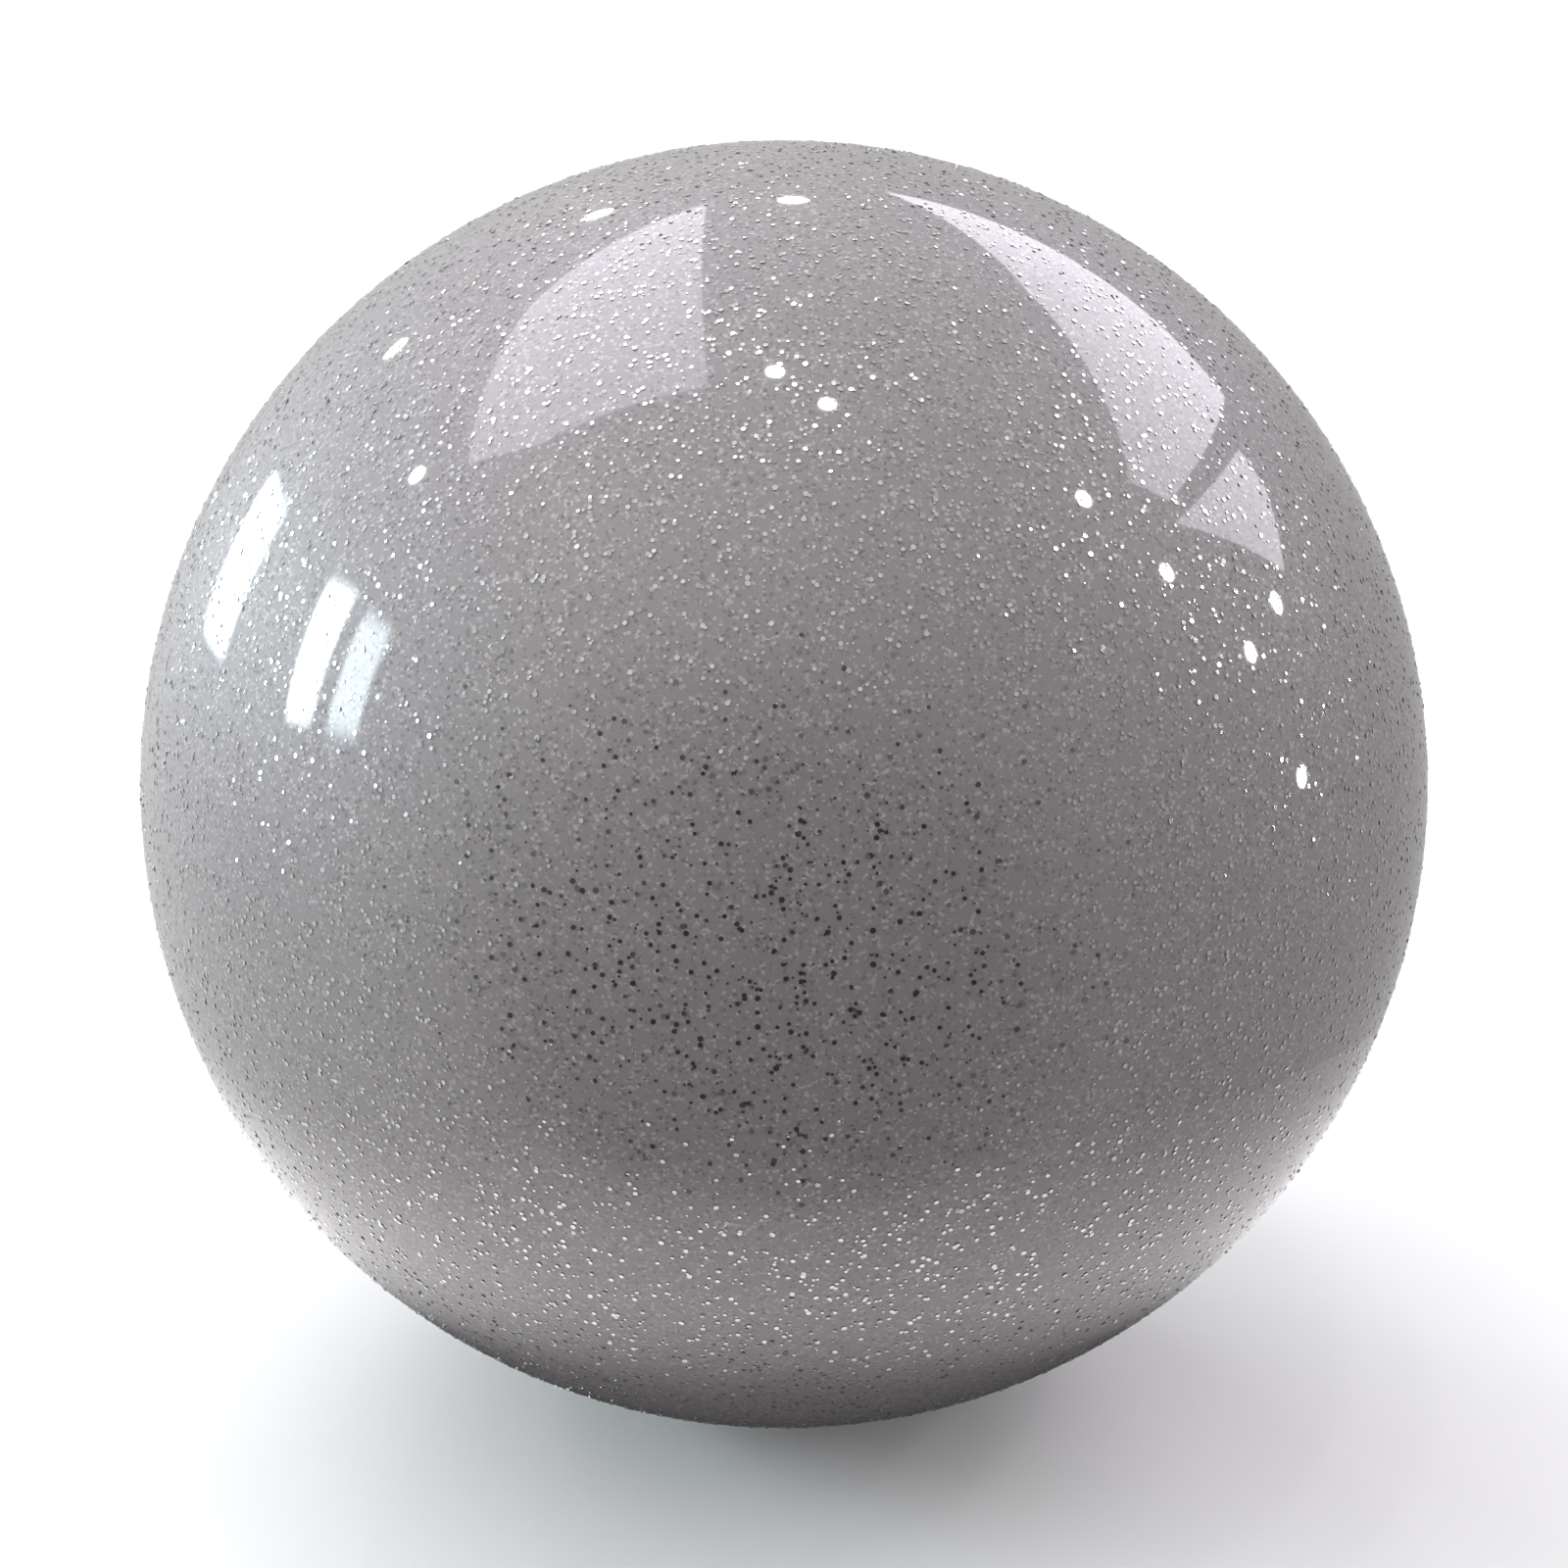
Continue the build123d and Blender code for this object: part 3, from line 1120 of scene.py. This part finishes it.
def studio_world():
    """Soft room light: paler on the left, dim toward the floor, dark where the camera stands."""
    world = bpy.data.worlds.new("studio")
    world.use_nodes = True
    tree = world.node_tree
    tree.nodes.clear()
    place = node(tree, "ShaderNodeTexCoord").outputs["Generated"]
    side, _, rise = node(tree, "ShaderNodeSeparateXYZ", {0: place}).outputs
    dark_spot = tuple(toward(-5, -14))
    front = node(
        tree, "ShaderNodeVectorMath", {0: place, 1: dark_spot}, operation="DOT_PRODUCT"
    ).outputs["Value"]
    lit = product(
        tree,
        ramp(tree, side, -0.8, 0.8, 0.90, 0.50),
        ramp(tree, rise, -1.0, 0.6, 0.36, 1.27),
    )
    mirrored = product(
        tree,
        ramp(tree, side, -0.8, 0.8, 0.66, 0.38),
        ramp(tree, rise, -0.6, 0.1, 1.25, 1.0),
        ramp(tree, rise, 0.4, 0.9, 1.0, 1.5),
        ramp(tree, front, 0.45, 0.85, 1.0, 0.05),
    )
    ray = node(tree, "ShaderNodeLightPath").outputs
    level = chosen(tree, ray["Is Glossy Ray"], lit, mirrored)
    level = chosen(tree, ray["Is Camera Ray"], level, BACKDROP)
    glow = node(tree, "ShaderNodeBackground", {"Color": BACKDROP_COLOUR, "Strength": level})
    out = tree.nodes.new("ShaderNodeOutputWorld")
    tree.links.new(glow.outputs[0], out.inputs["Surface"])
    bpy.context.scene.world = world


def painted_table_reflection_level(tree):
    """Radiance of a glowing card that paints the mirrored table top into reflections: painted
    shadow where the ball's shadow falls, and dark past the front edge.
    """
    place = node(tree, "ShaderNodeTexCoord").outputs["Object"]
    flat = node(
        tree, "ShaderNodeVectorMath", {0: place, 1: (1, 1, 0)}, operation="MULTIPLY"
    ).outputs[0]
    reach = node(tree, "ShaderNodeVectorMath", {0: flat}, operation="LENGTH").outputs["Value"]
    side, depth, _ = node(tree, "ShaderNodeSeparateXYZ", {0: place}).outputs
    # Painted shadow close to the ball, dark past the front edge, fading far out, paler on the left
    return product(
        tree,
        ramp(tree, reach, 0.065, 0.118, 0.05, 1.15),
        ramp(tree, depth, -0.185, -0.155, 0.35, 1.0),
        ramp(tree, reach, 0.13, 0.195, 1.0, 0.6),
        ramp(tree, side, -0.12, 0.05, 1.2, 0.95),
    )


def disc(name, radius, height):
    """Flat round sheet."""
    mesh = bmesh.new()
    bmesh.ops.create_circle(mesh, cap_ends=True, radius=radius, segments=128)
    bmesh.ops.translate(mesh, verts=mesh.verts, vec=(0, 0, height))
    return mesh_object(name, mesh)


class BALL_OT_studio(bpy.types.Operator):
    """Set up the pale floor, the soft lights and the camera"""

    bl_idname = "glitter_ball.studio"
    bl_label = "Studio"

    def execute(self, context):
        settings = context.scene.studio_settings
        ball = context.scene.ball_settings
        material, tree, shader = new_material("pale_floor")
        place = node(tree, "ShaderNodeTexCoord").outputs["Object"]
        reach = node(tree, "ShaderNodeVectorMath", {0: place}, operation="LENGTH").outputs["Value"]

        # Far from the ball the floor gives way to the backdrop's own glow, so no edge shows
        near, far = 0.5, 2.5
        base = scaled(tree, settings.floor_colour, ramp(tree, reach, near, far, 1.0, 0.0))
        glow = ramp(tree, reach, near, far, 0.0, BACKDROP)
        tree.links.new(base, shader.inputs["Base Color"])
        tree.links.new(glow, shader.inputs["Emission Strength"])
        shader.inputs["Emission Color"].default_value = BACKDROP_COLOUR
        shader.inputs["Roughness"].default_value = 0.8
        shader.inputs["Specular IOR Level"].default_value = 0.2
        floor = disc("floor", radius=6.0, height=-ball.radius)
        floor.data.materials.append(material)
        floor.visible_glossy = False
        floor.visible_diffuse = False
        # Glowing card under the floor that only reflections see: a painted reflection of a pale
        # table top, with painted shadow round the ball
        card = disc("painted_table_reflection", radius=0.2, height=-ball.radius - 1 * MM)
        card.data.materials.append(glowing("painted_table_reflection", (1.0, 0.98, 0.98), painted_table_reflection_level))
        card.visible_camera = False
        card.visible_diffuse = False

        studio_world()
        white = (1.0, 0.99, 0.97)
        cool = (0.80, 0.95, 1.0)
        lilac = (0.95, 0.91, 1.0)
        windows = (
            ("window_far", 22, ((-137, 12), (-122, 18), (-117, 1), (-131, -2))),
            ("window_near_left", 34, ((-103, 23), (-93, 26), (-89, 6), (-97, 4))),
            ("window_near_right", 12, ((-91, 26), (-81, 27), (-78, 8), (-87, 6))),
        )
        for name, radiance, corners in windows:
            window(name, corners, radiance, cool)
        skylights = (
            ("left", 3.9, ((-0.36, 2.45), (-1.3, 1.45), (-1.95, 0.25), (-1.35, 0), (-0.36, 0))),
            ("right", 4.0, ((0.5, 3.2), (1.2, 1.65), (2.3, 0.35), (2.85, 0.6), (3.7, 4.0))),
            ("far_right", 4.0, ((3.05, 0.45), (3.95, 3.0), (5.0, 3.5), (7.0, 3.2))),
        )
        for side, radiance, corners in skylights:
            skylight(f"skylight_{side}", corners, radiance, lilac)
        spots = (
            (-163, 31), (179, 40), (-157, 87), (59, 83), (-140, 26), (-104, 38),
            (86, 46), (88, 31), (95, 15), (98, -2), (107, 15),
        )
        for index, (azimuth, elevation) in enumerate(spots):
            spotlight(f"spot_{index}", azimuth, elevation, width=0.13, radiance=65, colour=white)

        camera_data = bpy.data.cameras.new("camera")
        camera_data.lens = settings.lens
        camera_data.sensor_width = 36.0
        half_view = math.atan(camera_data.sensor_width / 2 / settings.lens)
        half_ball = math.atan(settings.ball_share * math.tan(half_view))
        distance = ball.radius / math.sin(half_ball)
        camera = bpy.data.objects.new("camera", camera_data)
        away = toward(0, math.degrees(settings.camera_elevation))
        camera.location = away * distance
        camera.rotation_mode = "QUATERNION"
        camera.rotation_quaternion = (-away).to_track_quat("-Z", "Y")
        context.scene.collection.objects.link(camera)
        context.scene.camera = camera
        context.scene.view_settings.view_transform = "Standard"
        return {"FINISHED"}


class BALL_PT_pieces(bpy.types.Panel):
    """Buttons that make each piece of the ball"""

    bl_label = "Play Ball"
    bl_idname = "BALL_PT_pieces"
    bl_space_type = "VIEW_3D"
    bl_region_type = "UI"
    bl_category = "Play Ball"

    def draw(self, context):
        for maker in makers:
            self.layout.operator(maker.bl_idname)


makers = (
    BALL_OT_silver_skin,
    BALL_OT_glitter,
    BALL_OT_mould_line,
    BALL_OT_valve_flange,
    BALL_OT_valve_skirt,
    BALL_OT_valve_stem,
    BALL_OT_stopper,
    BALL_OT_stopper_strap,
    BALL_OT_check_flap,
    BALL_OT_studio,
)
settings_classes = (BallSettings, ValveSettings, StudioSettings)


def register():
    for each in (*settings_classes, *makers, BALL_PT_pieces):
        bpy.utils.register_class(each)
    bpy.types.Scene.ball_settings = PointerProperty(type=BallSettings)
    bpy.types.Scene.valve_settings = PointerProperty(type=ValveSettings)
    bpy.types.Scene.studio_settings = PointerProperty(type=StudioSettings)


def unregister():
    del bpy.types.Scene.studio_settings
    del bpy.types.Scene.valve_settings
    del bpy.types.Scene.ball_settings
    for each in reversed((*settings_classes, *makers, BALL_PT_pieces)):
        bpy.utils.unregister_class(each)


def main():
    """Makes every piece and the studio."""
    register()
    bpy.ops.glitter_ball.silver_skin()
    bpy.ops.glitter_ball.glitter()
    bpy.ops.glitter_ball.mould_line()
    bpy.ops.glitter_ball.valve_flange()
    bpy.ops.glitter_ball.valve_skirt()
    bpy.ops.glitter_ball.valve_stem()
    bpy.ops.glitter_ball.stopper()
    bpy.ops.glitter_ball.stopper_strap()
    bpy.ops.glitter_ball.check_flap()
    bpy.ops.glitter_ball.studio()


if __name__ == "__main__":
    main()
